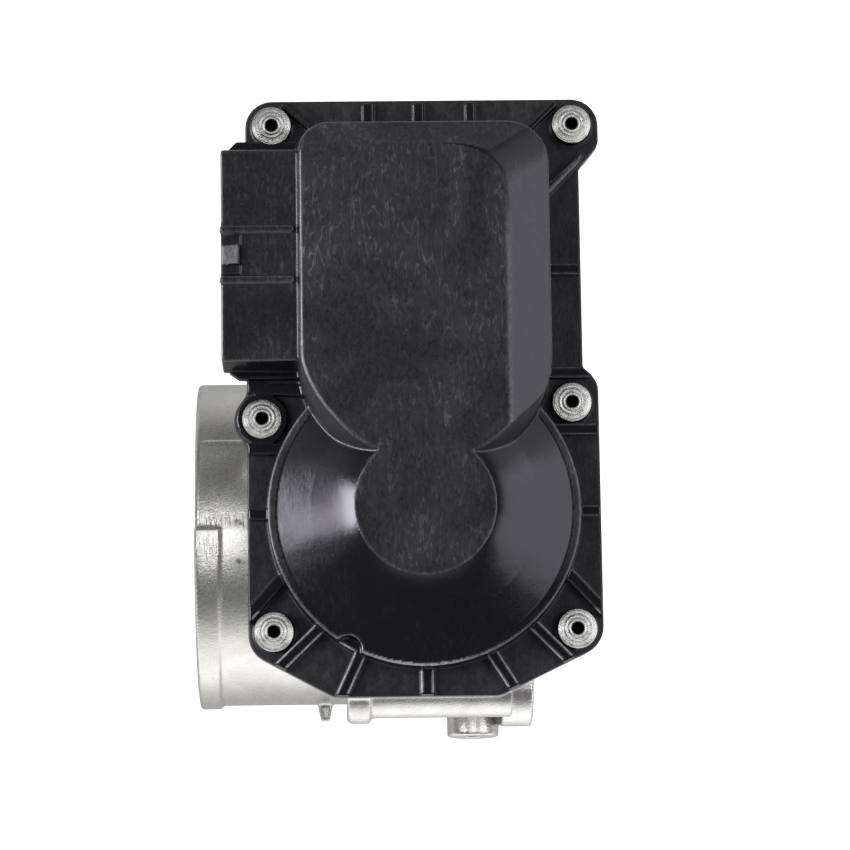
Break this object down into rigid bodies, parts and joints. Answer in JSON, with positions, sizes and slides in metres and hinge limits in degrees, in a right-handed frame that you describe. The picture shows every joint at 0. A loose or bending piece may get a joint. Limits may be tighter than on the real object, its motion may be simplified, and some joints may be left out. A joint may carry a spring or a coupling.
{
  "type": "throttle body",
  "caption": "Electronic throttle body: a bored aluminium casting with a throttle plate on a cross shaft, a geared motor drive under a black riveted cover, and a side connector.",
  "frame": {"origin": "centre of the manifold flange face, on the bore axis", "axes": "+X along the bore out of the manifold flange, +Y from the bore axis towards the motor, +Z along the throttle shaft towards the gear cover"},
  "size_m": [0.093, 0.1432, 0.1163],
  "materials": {
    "cast_aluminium": "satin cast surface, machined on faces",
    "black_plastic": "glass-filled nylon, satin with fine scuffs",
    "rubber": "moulded seal",
    "steel": "turned and plated",
    "rivet_metal": "turned, upset in place",
    "brass": "machined",
    "tin": "tin plated",
    "gear_plastic": "moulded acetal",
    "magnet": "sintered",
    "board": "coated circuit board",
    "copper": "wound"
  },
  "bodies": {
    "root": {"throttle_housing": "cast_aluminium", "gear_cover": "black_plastic", "cover_gasket": "rubber", "connector_terminal_1": "tin", "connector_terminal_2": "tin", "connector_terminal_3": "tin", "connector_terminal_4": "tin", "connector_terminal_5": "tin", "connector_terminal_6": "tin", "cover_rivet_top_left": "rivet_metal", "cover_rivet_top_right": "rivet_metal", "cover_rivet_middle_left": "rivet_metal", "cover_rivet_middle_right": "rivet_metal", "cover_rivet_bottom_left": "rivet_metal", "cover_rivet_bottom_right": "rivet_metal", "shaft_bearing_upper": "steel", "shaft_bearing_lower": "steel", "shaft_seal": "rubber", "shaft_end_plug": "steel", "return_spring": "steel", "idler_pin": "steel", "motor_can": "steel", "motor_magnet_left": "magnet", "motor_magnet_right": "magnet", "motor_brush_holder": "black_plastic", "motor_end_plate": "steel", "motor_screw_left": "steel", "motor_screw_right": "steel", "motor_wave_spring": "steel", "motor_contact_left": "brass", "motor_contact_right": "brass", "sensor_board": "board", "sensor_chip": "magnet"},
    "throttle": {"throttle_plate": "brass", "throttle_shaft": "steel", "plate_screw_upper": "steel", "plate_screw_lower": "steel", "sector_gear": "gear_plastic", "sensor_magnet": "magnet"},
    "idler": {"idler_gear": "gear_plastic"},
    "motor_rotor": {"motor_armature": "copper", "motor_pinion": "brass"}
  },
  "joints": [
    {"name": "motor_spin", "type": "hinge", "parent": "root", "child": "motor_rotor", "pos_m": [-0.0237, 0.0616, 0], "axis": [0, 0, 1], "range_deg": [-151.6, 1733.3]},
    {"name": "idler_spin", "type": "hinge", "parent": "root", "child": "idler", "pos_m": [-0.0241, 0.036, 0], "axis": [0, 0, 1], "range_deg": [-400, 35]},
    {"name": "throttle_turn", "type": "hinge", "parent": "root", "child": "throttle", "pos_m": [-0.0245, 0, 0], "axis": [0, 0, 1], "range_deg": [-7, 80], "stiffness_Nm_per_rad": 0.02}
  ],
  "couplings": [
    {"joint": "idler_spin", "follows": "motor_spin", "ratio": -0.23077},
    {"joint": "throttle_turn", "follows": "motor_spin", "ratio": 0.046154}
  ]
}
